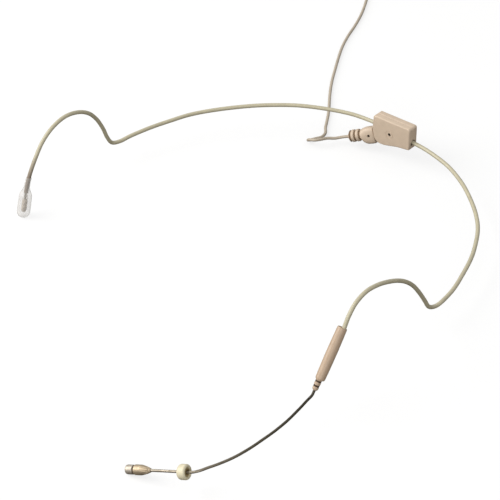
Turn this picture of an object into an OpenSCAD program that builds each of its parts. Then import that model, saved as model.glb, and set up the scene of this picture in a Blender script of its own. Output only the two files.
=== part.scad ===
// Headset microphone for stage use: a sprung neck band with two ear hooks, a thin boom with
// a miniature capsule, and a cable that leaves a swivelling boot beside the nape housing.
// It lies on a table. +X is the wearer's left, -Y the way the wearer faces, +Z up.

/* [Neck band] */
// Outside diameter of the sleeved band wire
band_d = 1.45; // [1.35:0.05:1.6]
// Bore of the band sleeve
band_bore_d = 1.12; // [1.1:0.01:1.16]
// Diameter of the spring wire in the right arm
right_wire_d = 0.8; // [0.5:0.05:0.9]
// Diameter of the spring wire in the left arm, beside the lead
left_wire_d = 0.54; // [0.4:0.02:0.56]
// Diameter of the microphone lead
lead_d = 0.34; // [0.2:0.02:0.36]

/* [Nape housing] */
// Y of the face that lies against the nape
shell_front_y = 90.8; // [90.7:0.1:91]
// Y of the seam between the two shells, where the wires run
seam_y = 93.1; // [93.1:0.1:93.2]
// Y of the outside face
shell_back_y = 95.4; // [95.2:0.1:95.8]
// Wall of the shells
shell_wall = 0.8; // [0.6:0.05:0.9]

/* [Cable boot] */
// How far the boot hangs below the horizontal
boot_drop = 22; // [20:1:24]
// How far its ribbed part is bent towards the nape
boot_bend = 20; // [16:1:22]
// Outside diameter of the ribs
rib_d = 4.6; // [4.3:0.1:4.8]
// Pitch of the ribs
rib_pitch = 1.83; // [1.75:0.01:1.9]

/* [Boom] */
// Diameter of the boom
boom_d = 0.9; // [0.86:0.01:0.92]
// Length of the barrel that joins the boom to the ear hook
barrel_l = 18.1; // [17.5:0.1:19]
// Diameter of the barrel at its middle
barrel_d = 3.5; // [3.4:0.1:3.8]

/* [Capsule] */
// Diameter of the capsule body
capsule_d = 3.3; // [3.2:0.05:3.6]
// Diameter of the moisture ring
ring_d = 4.9; // [4.4:0.1:5.4]
// Width of the moisture ring
ring_w = 3; // [2.4:0.1:3.2]

/* [Cable] */
// Diameter of the cable
cable_d = 1.1; // [1:0.05:1.15]
// Diameter of the coil at the middle of its turns
coil_mid_d = 13; // [12.5:0.5:14]
// Turns side by side
coil_rows = 7; // [6:1:7]
// Layers of turns, one on the other
coil_layers = 4; // [3:1:4]

/* [Hidden] */
$fn = 48;

beige = [0.86, 0.75, 0.65];
khaki = [0.80, 0.75, 0.62];
cream = [0.88, 0.86, 0.78];
steel = [0.62, 0.61, 0.58];
brass = [0.78, 0.66, 0.42];
dark = [0.12, 0.11, 0.09];

band_r = band_d / 2;
band_bore_r = band_bore_d / 2;
boom_r = boom_d / 2;
// The wire and the lead lie side by side in the left arm, off its middle
wire_shift = 0.25;
lead_shift = -0.33;
// Clearance of a piece that turns or slides on another, and of one pressed into its seat
running = 0.05;
seat = 0.01;

// Housing: outline in X and Z with its corner radii, the wire heights and the two pins
shell_outline = [
    [-5.7, 16.8], [11, 17.7], [11, 8.8], [5.5, 7.8], [-0.5, 6], [-4.8, 5.6], [-6, 11]
];
shell_corners = [0.9, 0.9, 0.6, 5, 5, 3, 6];
pocket_outline = [[-4.4, 15.8], [9.5, 16.7], [9.5, 9.9], [5.2, 8.8], [-0.6, 7.1], [-3.6, 7], [-4.6, 11]];
pocket_corners = [0.6, 0.6, 0.6, 3, 3, 2, 4];
right_wire_z = 12;
left_wire_z = 11.2;
rivet_at = [1.9, 11.7];
rivet_r = 0.6;
swivel_at = [-1.5, 9.4];
swivel_r = 0.7;
tongue_t = 1.7;
slot_t = 2.1;
slot_r = 5.4;
exit_r = 1.2;

// Right arm: from inside the tip sleeve over the ear, behind it and round to the housing
right_arm_path = [
    [-72.5, -19.5, 8.3], [-72.5, -18.5, 12], [-72.5, -16.5, 16.5], [-72.5, -13.5, 21.5],
    [-72.5, -10, 26], [-72.5, -5, 29.5], [-72.5, 1, 31], [-72.5, 7, 30], [-72.5, 12.5, 27],
    [-72.5, 16.5, 22.5], [-72.5, 19.5, 17], [-72.5, 21.5, 12], [-72.5, 23.8, 8.6],
    [-72, 27.5, 7.6], [-71, 32, 8.1], [-68.8, 39.6, 8.7], [-66, 47.5, 9.1], [-62.5, 55.5, 9.6],
    [-56.5, 64, 10.2], [-49, 72.4, 10.8], [-42, 78.5, 11.3], [-34.5, 84, 11.6],
    [-25, 88.7, 11.9], [-16.5, 91.8, 12], [-9, 93, 12], [-5.5, 93.1, 12], [-2, 93.1, 12]
];
// Left arm: from inside the boom barrel over the ear, behind it and round to the housing
left_arm_path = [
    [73, -25.4, 19.8], [73, -22.8, 23.4], [73, -20.2, 27], [73, -17.9, 30.8], [73, -14.5, 34],
    [73, -9.5, 35.5], [73, -4, 34.8], [73, 1.3, 33], [73, 6.6, 30.4], [73, 11, 27.3],
    [73, 14.8, 23.5], [73, 18.4, 18.5], [73, 21.4, 13.6], [73, 23.8, 9.7], [73.1, 27.2, 7.9],
    [73.2, 31, 7.9], [72.2, 38, 8.1], [70.2, 45, 8.4], [67.3, 53.5, 8.8], [64.3, 60, 9.2],
    [59.5, 68, 9.8], [54, 74.2, 10.2], [47.3, 79.8, 10.6], [40, 84.8, 10.9],
    [32.2, 88.8, 11.1], [26, 90.9, 11.2], [18, 92.6, 11.2], [12, 93.1, 11.2],
    [9, 93.1, 11.2], [6.2, 93.1, 11.2]
];
// Lead inside the housing, over the rivet to the slot of the boot
housing_lead_path = [
    [6.1, 92.8, 11.2], [5.5, 92.6, 11.8], [4.7, 92.2, 12.9], [3.4, 92, 13.9], [1.5, 91.9, 14.2],
    [-0.8, 91.9, 13.8], [-2.6, 91.9, 12.6], [-3.4, 91.9, 11], [-3.6, 91.9, 9.2]
];
// Boom: from the gland forward beside the cheek, then in towards the mouth
boom_path = [
    [72.2, -33, 9.3], [72.2, -34.3, 7.9], [72, -36.2, 7.1], [72.7, -41.1, 6.9], [73.6, -47.4, 7],
    [74.2, -54, 7.4], [74.5, -60.2, 8], [74.8, -66.4, 8.8], [74.7, -72.9, 9.7], [73.8, -78.5, 10.3],
    [72.5, -82.6, 10.5], [71.4, -85.1, 10.3], [69.6, -86.7, 9.6]
];
// Cable where it isn't coiled: out of the boot, a tight turn on the table, then away behind
cable_path = [
    [-15.95, 89.6, 3.55], [-18.2, 88.4, 2.8], [-19.8, 86.6, 2.5], [-21.6, 84.4, 2.8],
    [-22.5, 81.9, 3.2], [-23.8, 80, 3.2], [-26.1, 79.5, 2.6], [-27.4, 80.2, 1.5],
    [-27.6, 81.7, 0.7], [-26.7, 84, 0.6], [-25.8, 86.2, 0.6], [-26.5, 89, 0.6],
    [-28.7, 91.7, 0.6], [-30.4, 94.3, 0.6], [-33.5, 98.9, 0.6], [-36.7, 103.2, 0.6],
    [-42.4, 110.5, 0.6], [-47.4, 117.6, 0.6], [-52, 125, 0.6], [-56.6, 132.6, 0.6],
    [-60.4, 139.4, 0.6], [-63.6, 146.5, 0.6], [-66.4, 154, 0.6], [-69.6, 161.5, 0.6],
    [-73, 168, 0.6], [-76.8, 174.5, 0.6], [-80.8, 181.5, 0.7], [-84, 188.5, 0.9]
];
// Cable from the coil into the strain relief of the plug
cable_end_path = [
    [-84.3, 179.6, 4.2], [-83.1, 181.8, 4.2], [-82, 183.9, 4.5], [-80.9, 186.1, 4.8],
    [-79.8, 188.2, 4.8], [-77.5, 192.5, 4.8], [-75.2, 196.8, 4.8]
];

// Frames: the tip sleeve, the barrel, the straight nose of the boom, the coil and the plug
tip_at = [-72.5, -21.5, 0.25];
tip_tilt = [-14, 0, 0];
barrel_at = [72.4, -30.8, 12.4];
barrel_tilt = [-36, 0, 0];
hook_offset = 0.6;
gland_offset = -0.2;
gland_end = 3.8;
nose_at = [69.6, -86.7, 9.6];
nose_turn = [0, 109.6, 195];
ring_from = 1.5;
capsule_from = 15.1;
coil_at = [-92.9, 184.4, 0.3];
plug_at = [-76.7, 194, 4.8];
plug_turn = [0, 90, 62];

function unit(v) = v / norm(v);
function pick(p, i) = p[max(0, min(i, len(p) - 1))];

// Point at t of a curve that passes through b and c, with a before them and d after
function curve_point(a, b, c, d, t) =
    0.5 * (2 * b + (c - a) * t + (2 * a - 5 * b + 4 * c - d) * t * t
        + (3 * b - a - 3 * c + d) * t * t * t);

// A smooth path through the points p, with n steps from each to the next
function smooth_path(p, n) = concat(
    [for (i = [0:len(p) - 2], k = [0:n - 1])
        curve_point(pick(p, i - 1), p[i], p[i + 1], pick(p, i + 2), k / n)],
    [p[len(p) - 1]]);

// Directions along a path, with the first or last one given where it meets a straight piece
function directions(p, first, last) = [for (i = [0:len(p) - 1])
    i == 0 && norm(first) > 0 ? first
        : i == len(p) - 1 && norm(last) > 0 ? last
        : unit(pick(p, i + 1) - pick(p, i - 1))];

// Side directions carried along the path without twist
function sides_of(d, first) = [for (
    i = 0, s = unit(first - (first * d[0]) * d[0]);
    i < len(d);
    i = i + 1, s = unit(s - (s * pick(d, i)) * pick(d, i))) s];

// A polygon of n corners round c, square to direction d, its centre moved along side s
function ring_points(c, d, s, r, n, shift) = [for (k = [0:n - 1])
    c + shift * s + r * (cos(360 * k / n) * s + sin(360 * k / n) * cross(d, s))];

function wall_faces(rings, n, from, out) = [for (i = [0:rings - 2], k = [0:n - 1], half = [0, 1])
    let (a = from + i * n + k, b = from + i * n + (k + 1) % n,
        face = half == 0 ? [a, a + n, b + n] : [a, b + n, b])
    out ? face : [face[2], face[1], face[0]]];

// A round rod along a path
module rod(path, r, n, side = [0, 0, 1], shift = 0, first = [0, 0, 0], last = [0, 0, 0]) {
    d = directions(path, first, last);
    s = sides_of(d, side);
    m = len(path);
    points = [for (i = [0:m - 1]) each ring_points(path[i], d[i], s[i], r, n, shift)];
    polyhedron(points, concat(
        wall_faces(m, n, 0, true),
        [[for (k = [0:n - 1]) k]],
        [[for (k = [n - 1:-1:0]) (m - 1) * n + k]]));
}

// A round tube along a path
module tube(path, r, bore_r, n, side = [0, 0, 1], last = [0, 0, 0]) {
    d = directions(path, [0, 0, 0], last);
    s = sides_of(d, side);
    m = len(path);
    outer = [for (i = [0:m - 1]) each ring_points(path[i], d[i], s[i], r, n, 0)];
    inner = [for (i = [0:m - 1]) each ring_points(path[i], d[i], s[i], bore_r, n, 0)];
    end = (m - 1) * n;
    polyhedron(concat(outer, inner), concat(
        wall_faces(m, n, 0, true),
        wall_faces(m, n, m * n, false),
        [for (k = [0:n - 1], half = [0, 1])
            let (a = k, b = (k + 1) % n, c = m * n + k, e = m * n + (k + 1) % n)
            half == 0 ? [a, b, e] : [a, e, c]],
        [for (k = [0:n - 1], half = [0, 1])
            let (a = end + k, b = end + (k + 1) % n, c = m * n + a, e = m * n + b)
            half == 0 ? [b, a, c] : [b, c, e]]));
}

// Corner b of an outline, between a and c, rounded to radius r
function corner_arc(a, b, c, r) =
    let (u = unit(a - b), v = unit(c - b), half = acos(u * v) / 2,
        centre = b + unit(u + v) * r / sin(half),
        from = b + u * r / tan(half) - centre, to = b + v * r / tan(half) - centre,
        start = atan2(from[1], from[0]),
        sweep = (atan2(to[1], to[0]) - start + 540) % 360 - 180)
    [for (k = [0:6]) centre + r * [cos(start + sweep * k / 6), sin(start + sweep * k / 6)]];

function rounded(p, r) = [for (i = [0:len(p) - 1])
    each corner_arc(p[(i + len(p) - 1) % len(p)], p[i], p[(i + 1) % len(p)], r[i])];

// An outline in X and Z made solid from y0 to y1
module slab(outline, y0, y1) {
    translate([0, y1, 0]) rotate([90, 0, 0]) linear_extrude(y1 - y0) polygon(outline);
}

// A cylinder along Y at [x, z], from y0 to y1
module across(at, r, y0, y1) {
    translate([at[0], y0, at[1]]) rotate([-90, 0, 0]) cylinder(h = y1 - y0, r = r);
}

// A cylinder along X at height z in the seam, from x0 to x1
module along(z, r, x0, x1) {
    translate([x0, seam_y, z]) rotate([0, 90, 0]) cylinder(h = x1 - x0, r = r);
}

// A ring: a cylinder from z0 to z1 with a bore
module ring(r, bore_r, z0, z1) {
    translate([0, 0, z0]) difference() {
        cylinder(h = z1 - z0, r = r);
        translate([0, 0, -1]) cylinder(h = z1 - z0 + 2, r = bore_r);
    }
}

// ---- right arm ----
module right_arm_tube() {
    color(khaki) tube(smooth_path(right_arm_path, 2), band_r, band_bore_r, 10, [1, 0, 0]);
}

module right_arm_wire() {
    bare_end = tip_point(5.2);
    color(steel) rod(smooth_path(concat([bare_end], right_arm_path, [[-0.2, seam_y, right_wire_z]]), 2),
        right_wire_d / 2, 8, [1, 0, 0]);
}

function tip_point(h) = tip_at + h * [0, sin(-tip_tilt[0]), cos(tip_tilt[0])];

module in_tip() {
    translate(tip_at) rotate(tip_tilt) children();
}

module right_tip_bead() {
    color(beige) in_tip() difference() {
        translate([0, 0, 2]) rotate_extrude()
            polygon([[0, 0], [0.55, 0.1], [0.85, 0.6], [0.85, 4.2], [0.6, 4.8], [0, 4.8]]);
        translate([0, 0, 3]) cylinder(h = 6, r = right_wire_d / 2 + seat);
    }
}

module right_tip_sleeve() {
    sleeve_r = 2.35;
    color("white", 0.4) in_tip() difference() {
        rotate_extrude() polygon(concat(
            [[0, 0], [0.75, 0]],
            [for (a = [-75:15:0]) [sleeve_r - 1.6 + 1.6 * cos(a), 1.6 + 1.6 * sin(a)]],
            [[sleeve_r - 0.1, 8.6], [sleeve_r - 0.4, 9.4], [1.35, 11], [1.2, 15], [0, 15]]));
        translate([0, 0, 1.8]) cylinder(h = 5.4, r = 0.9);
        translate([0, 0, 7]) cylinder(h = 9, r = band_r + seat);
    }
}

// ---- left arm ----
module left_arm_tube() {
    color(khaki) tube(smooth_path(left_arm_path, 2), band_r, band_bore_r, 10, [1, 0, 0]);
}

module left_arm_wire() {
    into_barrel = left_arm_path[0] - 2 * unit(left_arm_path[1] - left_arm_path[0]);
    color(steel) rod(smooth_path(concat([into_barrel], left_arm_path, [[4, seam_y, left_wire_z]]), 2),
        left_wire_d / 2, 8, [1, 0, 0], wire_shift);
}

module left_arm_lead() {
    into_barrel = left_arm_path[0] - 0.6 * unit(left_arm_path[1] - left_arm_path[0]);
    color("red") rod(smooth_path(concat([into_barrel], left_arm_path), 2),
        lead_d / 2, 6, [1, 0, 0], lead_shift);
}

// ---- nape housing ----
module shell_bores() {
    along(right_wire_z, band_r + 0.03, -8, -1);
    along(left_wire_z, band_r + 0.03, 5, 12);
    along(left_wire_z, exit_r, 10, 12);
    across(rivet_at, rivet_r + seat, 80, 100);
    difference() {
        across(swivel_at, slot_r, seam_y - slot_t / 2, seam_y + slot_t / 2);
        translate([-10, 80, 11.15]) cube([30, 30, 10]);
    }
}

module inner_shell() {
    color(beige) difference() {
        union() {
            difference() {
                slab(rounded(shell_outline, shell_corners), shell_front_y, seam_y);
                slab(rounded(pocket_outline, pocket_corners), shell_front_y + shell_wall, seam_y + 1);
            }
            across(rivet_at, 1.1, shell_front_y + 0.1, seam_y);
            across(swivel_at, 1.3, shell_front_y + 0.1, seam_y - slot_t / 2);
        }
        shell_bores();
        across(swivel_at, swivel_r + seat, shell_front_y + 0.5, seam_y);
        difference() {
            across(rivet_at, 1.65, shell_front_y - 1, shell_front_y + 0.12);
            across(rivet_at, 1.4, shell_front_y - 2, shell_front_y + 1);
        }
    }
}

module outer_shell() {
    color(beige) difference() {
        union() {
            difference() {
                slab(rounded(shell_outline, shell_corners), seam_y, shell_back_y);
                slab(rounded(pocket_outline, pocket_corners), seam_y - 1, shell_back_y - shell_wall);
            }
            across(rivet_at, 1.1, seam_y, shell_back_y - 0.1);
            across(swivel_at, 1.3, seam_y + slot_t / 2, shell_back_y - 0.1);
        }
        shell_bores();
        across(swivel_at, swivel_r + seat, seam_y, shell_back_y - 0.5);
    }
}

module shell_rivet() {
    color(dark) difference() {
        across(rivet_at, rivet_r, shell_front_y, shell_back_y);
        across(rivet_at, 0.4, shell_front_y - 1, shell_front_y + 1.2);
    }
}

module right_wire_crimp() {
    color(brass) difference() {
        along(right_wire_z, 0.74, -1.9, 0.3);
        along(right_wire_z, right_wire_d / 2 + seat, -2, -0.1);
    }
}

module left_wire_crimp() {
    color(brass) translate([0, wire_shift, 0]) difference() {
        along(left_wire_z, 0.5, 3.6, 6);
        along(left_wire_z, left_wire_d / 2 + seat, 3.9, 7);
    }
}

module housing_lead() {
    color("red") rod(smooth_path(housing_lead_path, 2), lead_d / 2, 6);
}

module swivel_pin() {
    color(steel) across(swivel_at, swivel_r, shell_front_y + 0.55, shell_back_y - 0.55);
}

// ---- cable boot ----
module in_boot() {
    translate([swivel_at[0], seam_y, swivel_at[1]]) rotate([0, 180 - boot_drop, 0]) children();
}

// The ribbed part, its axis along +Z of its children
module in_ribs() {
    in_boot() translate([6, 0, 0]) rotate([0, 0, -boot_bend]) rotate([0, 90, 0]) children();
}

ribs_l = 9.3;
root_drop = 0.95;
collar_l = 0.8;
// Direction in which the cable leaves the boot
boot_way = [-cos(boot_drop) * cos(boot_bend), -sin(boot_bend), -sin(boot_drop) * cos(boot_bend)];

module boot_root() {
    rotate_extrude() polygon([
        [0, -0.6], [2.75, -0.6], [2.75, 2.4], [rib_d / 2 + 0.1, 3.9], [rib_d / 2 - 0.2, 4.5], [0, 4.5]]);
}

module cable_boot() {
    rib_r = rib_d / 2;
    groove_w = 0.75;
    color(beige) difference() {
        union() {
            in_boot() translate([0, tongue_t / 2, 0]) rotate([90, 0, 0]) cylinder(h = tongue_t, r = 1.6);
            in_boot() translate([0, -tongue_t / 2, -1.2]) cube([5.5, tongue_t, 2.4]);
            in_boot() translate([4.75, 0, 0]) rotate([0, 90, 0]) intersection() {
                cylinder(h = 1.6, r = 2.75);
                translate([-5, -2.15, -1]) cube([10, 4.3, 4]);
            }
            in_ribs() intersection() {
                hull() {
                    boot_root();
                    translate([-root_drop, 0, 0]) boot_root();
                }
                translate([-5, -2.15, -2]) cube([10, 4.3, 20]);
            }
            in_ribs() rotate_extrude() polygon([
                [0, 3.9], [rib_r, 3.9], [rib_r, ribs_l - 0.2], [rib_r - 0.2, ribs_l], [0, ribs_l]]);
            in_ribs() translate([0, 0, ribs_l - 0.5]) cylinder(h = collar_l + 0.5, r = 0.95);
        }
        in_ribs() for (k = [0:2]) ring(5, rib_r - 0.6, ribs_l - 0.9 - k * rib_pitch,
            ribs_l - 0.9 - k * rib_pitch + groove_w);
        in_boot() rotate([90, 0, 0]) cylinder(h = 10, r = swivel_r + running, center = true);
        in_ribs() translate([0, 0, 0.2]) cylinder(h = 20, r = cable_d / 2 + seat);
        in_ribs() translate([0, 0, 0.2]) cylinder(h = 2.2, r = 0.95);
        in_ribs() translate([0, 0, 1.3]) rotate([90, 0, 0]) cylinder(h = 10, r = 0.4);
    }
}

module boot_crimp() {
    color(brass) in_ribs() difference() {
        ring(0.93, 0.45, 0.3, 2.3);
        translate([0, 0, 1.3]) rotate([90, 0, 0]) cylinder(h = 10, r = 0.36);
    }
}

module boot_cross_pin() {
    color(dark) in_ribs() translate([0, -0.5, 1.3]) rotate([90, 0, 0]) cylinder(h = 1.2, r = 0.34);
}

module cable_tail() {
    color(khaki) in_ribs() translate([0, 0, 2.5]) cylinder(h = ribs_l + collar_l - 2.5, r = cable_d / 2);
}

// ---- boom ----
module in_barrel() {
    translate(barrel_at) rotate(barrel_tilt) children();
}

module in_gland() {
    in_barrel() translate([gland_offset, 0, 0]) children();
}

module boom_barrel() {
    color(beige) in_barrel() difference() {
        rotate_extrude() polygon([
            [0, 0], [1.38, 0], [1.56, 0.2], [1.68, 3], [barrel_d / 2 - 0.02, 7],
            [barrel_d / 2, 10], [1.68, 15], [1.6, barrel_l - 0.25], [1.4, barrel_l], [0, barrel_l]]);
        translate([gland_offset, 0, -1]) cylinder(h = 4, r = 1.05 + running);
        translate([gland_offset, 0, 1.9]) cylinder(h = 0.5, r = 1.25);
        translate([gland_offset, 0, 2]) cylinder(h = 6.6, r = boom_r + 0.1);
        translate([hook_offset, 0, 9]) cylinder(h = 12, r = band_r + 0.03);
        translate([hook_offset, 0, 6.4]) cylinder(h = 3, r = 0.62);
    }
}

module hook_socket() {
    color(brass) in_barrel() difference() {
        translate([hook_offset + wire_shift, 0, 6.6]) cylinder(h = 2.3, r = 0.36);
        translate([hook_offset + wire_shift, 0, 7]) cylinder(h = 3, r = left_wire_d / 2 + seat);
    }
}

module boom_gland() {
    color(beige) in_gland() difference() {
        rotate_extrude() polygon([
            [0, -gland_end + 0.1], [0.6, -gland_end + 0.1], [0.9, -gland_end + 0.4], [1, -3],
            [1, -2.5], [0.72, -2.5], [0.72, -1.9], [1.02, -1.9], [1.06, -0.9], [0.76, -0.9],
            [0.76, -0.35], [1.08, -0.35], [1.08, -0.1], [1.05, -0.1], [1.05, 1.95],
            [0.86, 1.95], [0.86, 2.3], [1.05, 2.3], [1.05, 2.9], [0, 2.9]]);
        translate([0, 0, -5]) cylinder(h = 10, r = boom_r + running);
    }
}

module gland_rings() {
    color(dark) in_gland() {
        ring(0.96, 0.73, -2.45, -1.95);
        ring(1, 0.77, -0.85, -0.4);
    }
}

module gland_clip() {
    color(steel) in_gland() difference() {
        ring(1.18, 0.87, 1.99, 2.26);
        translate([0, -0.2, 1]) cube([3, 0.4, 2]);
    }
}

module boom_shank() {
    color(dark) in_gland() ring(boom_r, 0.24, -gland_end, 7.8);
}

gland_way = [0, sin(barrel_tilt[0]), -cos(barrel_tilt[0])];
stem_start = barrel_at + [gland_offset, 0, 0] + (gland_end + 0.05) * gland_way;
nose_way = [
    sin(nose_turn[1]) * cos(nose_turn[2]),
    sin(nose_turn[1]) * sin(nose_turn[2]),
    cos(nose_turn[1])
];
stem_path = concat([stem_start, stem_start + 0.6 * gland_way],
    [for (i = [1:len(boom_path) - 2]) boom_path[i]], [nose_at]);

module boom_stem() {
    color(dark) tube(smooth_path(stem_path, 2), boom_r, 0.26, 10, [1, 0, 0], last = nose_way);
}

module in_nose() {
    translate(nose_at) rotate(nose_turn) children();
}

module boom_nose() {
    color(steel) in_nose() ring(boom_r, 0.24, 0.02, capsule_from + 2.6);
}

module boom_lead() {
    color("red") {
        rod(smooth_path(stem_path, 2), lead_d / 2, 6, [1, 0, 0], last = nose_way);
        in_nose() translate([0, 0, 0.04]) cylinder(h = capsule_from + 2.4, r = lead_d / 2);
        in_gland() translate([0, 0, -gland_end + 0.02]) cylinder(h = 12, r = lead_d / 2);
    }
}

// ---- moisture ring ----
module moisture_ring() {
    r = ring_d / 2;
    color(cream) in_nose() translate([0, 0, ring_from]) difference() {
        rotate_extrude() polygon(concat(
            [[1.1, 0]],
            [for (a = [-90:15:0]) [r - 0.6 + 0.6 * cos(a), 0.6 + 0.6 * sin(a)]],
            [for (a = [0:15:90]) [r - 0.9 + 0.9 * cos(a), ring_w - 0.9 + 0.9 * sin(a)]],
            [[1.1, ring_w]]));
        translate([0, 0, -1]) cylinder(h = 1.45, r = 1.55);
    }
}

module moisture_ring_bush() {
    color(brass) in_nose() translate([0, 0, ring_from]) {
        difference() {
            ring(1.1, boom_r + running, 0.15, ring_w - 0.2);
            ring(0.85, 0.68, -1, 0.3);
        }
    }
}

// ---- capsule ----
module in_capsule() {
    in_nose() translate([0, 0, capsule_from]) children();
}

module capsule_body() {
    r = capsule_d / 2;
    color(brass) in_capsule() difference() {
        rotate_extrude() polygon([
            [0, 0], [0.62, 0], [0.72, 0.15], [1.05, 1.1], [1.35, 2.2], [r - 0.08, 3],
            [r, 3.3], [r, 5.7], [r - 0.15, 5.85], [0, 5.85]]);
        translate([0, 0, -1]) cylinder(h = 5, r = boom_r + seat);
        translate([0, 0, 3.6]) cylinder(h = 5, r = 1.16);
    }
}

module capsule_seal() {
    color(dark) in_capsule() ring(1.38, 1.17, 5.86, 6.34);
}

module element_can() {
    color(steel) in_capsule() difference() {
        translate([0, 0, 3.7]) cylinder(h = 4.2, r = 1.15);
        translate([0, 0, 3.9]) cylinder(h = 3.8, r = 1.03);
        translate([0, 0, 3]) cylinder(h = 10, r = 0.5);
    }
}

module element_backplate() {
    color(brass) in_capsule() ring(0.98, 0.2, 6.6, 6.9);
}

module element_diaphragm() {
    color("gold") in_capsule() translate([0, 0, 7.05]) cylinder(h = 0.08, r = 1);
}

module element_board() {
    color("green") in_capsule() translate([0, 0, 4.3]) cylinder(h = 0.4, r = 0.98);
}

module grille_cap() {
    color(steel) in_capsule() difference() {
        rotate_extrude() polygon([
            [0, 6.36], [1.42, 6.36], [1.5, 6.5], [1.5, 8.7], [1.3, 9], [0, 9]]);
        translate([0, 0, 6]) cylinder(h = 2.4, r = 1.15 + running);
        translate([0, 0, 6]) cylinder(h = 5, r = 0.85);
    }
}

module grille_mesh() {
    color(dark) in_capsule() translate([0, 0, 8.2]) cylinder(h = 0.18, r = 1.15);
}

// ---- cable ----
coil_w = coil_rows * cable_d;
coil_h = coil_layers * cable_d;
coil_in_r = (coil_mid_d - coil_w) / 2;
coil_out_r = (coil_mid_d + coil_w) / 2;

module cable() {
    color(khaki) rod(smooth_path(cable_path, 2), cable_d / 2, 8, first = boot_way);
}

module cable_coil() {
    color(khaki) translate(coil_at) ring(coil_out_r, coil_in_r, 0, coil_h);
}

module coil_tie() {
    tie_t = coil_at[2];
    tie_w = 2.4;
    color(dark) translate(coil_at) rotate([0, 0, 205]) translate([coil_in_r, -tie_w / 2, 0]) difference() {
        translate([-tie_t, 0, -tie_t]) cube([coil_w + 2 * tie_t, tie_w, coil_h + 2 * tie_t]);
        translate([0, -1, 0]) cube([coil_w, tie_w + 2, coil_h]);
    }
}

module cable_end() {
    color(khaki) rod(smooth_path(cable_end_path, 2), cable_d / 2, 8);
}

// ---- plug ----
module in_plug() {
    translate(plug_at) rotate(plug_turn) children();
}

module plug_relief() {
    color(dark) in_plug() difference() {
        rotate_extrude() polygon([
            [0, -9], [1.1, -9], [1.3, -8.6], [2.4, 0], [2.4, 0.2], [1.4, 0.2], [1.4, 2.5], [0, 2.5]]);
        translate([0, 0, -10]) cylinder(h = 14, r = cable_d / 2 + seat);
    }
}

module plug_barrel() {
    color(dark) in_plug() difference() {
        rotate_extrude() polygon([
            [0, 0.25], [2.9, 0.25], [3.6, 1.4], [4, 2], [4, 12], [3.3, 12.4], [3.3, 22.6], [0, 22.6]]);
        translate([0, 0, -1]) cylinder(h = 3.6, r = 1.4 + seat);
        translate([0, 0, 2.6]) cylinder(h = 15, r = 2.4);
    }
}

module plug_lock_ring() {
    color(steel) in_plug() {
        ring(4.5, 3.3 + running, 12.8, 21);
        for (k = [0:23]) rotate([0, 0, 15 * k]) translate([4.3, -0.25, 13.6]) cube([0.44, 0.5, 5]);
    }
}

module plug_sleeve_contact() {
    color(brass) in_plug() ring(1.75, 0.75, 22.62, 30.2);
}

module plug_ring_contact() {
    color(brass) in_plug() ring(1.75, 0.75, 30.9, 33.2);
}

module plug_tip_contact() {
    color(brass) in_plug() difference() {
        rotate_extrude() polygon([
            [0, 33.9], [1.75, 33.9], [1.75, 34.3], [1.2, 35.2],
            [1.72, 36.3], [1.2, 37], [0.5, 37.6], [0, 37.7]]);
        translate([0, 0, 33]) cylinder(h = 1.6, r = 0.75);
    }
}

module plug_insulators() {
    color("white") in_plug() {
        ring(1.75, 0.76, 30.21, 30.89);
        ring(1.75, 0.76, 33.21, 33.89);
        translate([0, 0, 22.65]) cylinder(h = 11.8, r = 0.74);
    }
}

right_arm_tube();
right_arm_wire();
right_tip_bead();
right_tip_sleeve();
left_arm_tube();
left_arm_wire();
left_arm_lead();
inner_shell();
outer_shell();
shell_rivet();
right_wire_crimp();
left_wire_crimp();
housing_lead();
swivel_pin();
cable_boot();
boot_crimp();
boot_cross_pin();
cable_tail();
boom_barrel();
hook_socket();
boom_gland();
gland_rings();
gland_clip();
boom_shank();
boom_stem();
boom_nose();
boom_lead();
moisture_ring();
moisture_ring_bush();
capsule_body();
capsule_seal();
element_can();
element_backplate();
element_diaphragm();
element_board();
grille_cap();
grille_mesh();
cable();
cable_coil();
coil_tie();
cable_end();
plug_relief();
plug_barrel();
plug_lock_ring();
plug_sleeve_contact();
plug_ring_contact();
plug_tip_contact();
plug_insulators();
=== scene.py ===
"""Headset microphone on a pale table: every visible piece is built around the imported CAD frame."""
import math

import bmesh
import bpy
from mathutils import Euler, Matrix, Vector, noise


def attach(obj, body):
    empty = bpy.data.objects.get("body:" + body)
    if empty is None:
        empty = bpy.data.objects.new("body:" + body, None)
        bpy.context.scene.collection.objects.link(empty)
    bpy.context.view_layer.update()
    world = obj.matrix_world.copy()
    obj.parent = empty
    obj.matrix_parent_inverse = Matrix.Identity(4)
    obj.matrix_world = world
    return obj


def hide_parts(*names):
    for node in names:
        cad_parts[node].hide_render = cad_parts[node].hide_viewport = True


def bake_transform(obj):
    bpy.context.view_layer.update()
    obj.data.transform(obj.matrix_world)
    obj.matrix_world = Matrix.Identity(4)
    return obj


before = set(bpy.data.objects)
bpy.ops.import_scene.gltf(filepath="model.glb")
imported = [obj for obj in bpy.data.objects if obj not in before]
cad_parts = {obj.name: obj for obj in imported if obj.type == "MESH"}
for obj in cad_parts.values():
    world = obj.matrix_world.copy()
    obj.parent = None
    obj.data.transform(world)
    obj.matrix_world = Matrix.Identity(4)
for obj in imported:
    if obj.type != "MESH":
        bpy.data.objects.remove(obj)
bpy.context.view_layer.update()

MM = 0.001
X_AXIS = Vector((1, 0, 0))
Z_AXIS = Vector((0, 0, 1))

# ---------------------------------------------------------------- sizes, in millimetres, as in the CAD
BAND_R = 0.725
WIRE_R = 0.4
BOOM_R = 0.45
CABLE_D = 1.1

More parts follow.
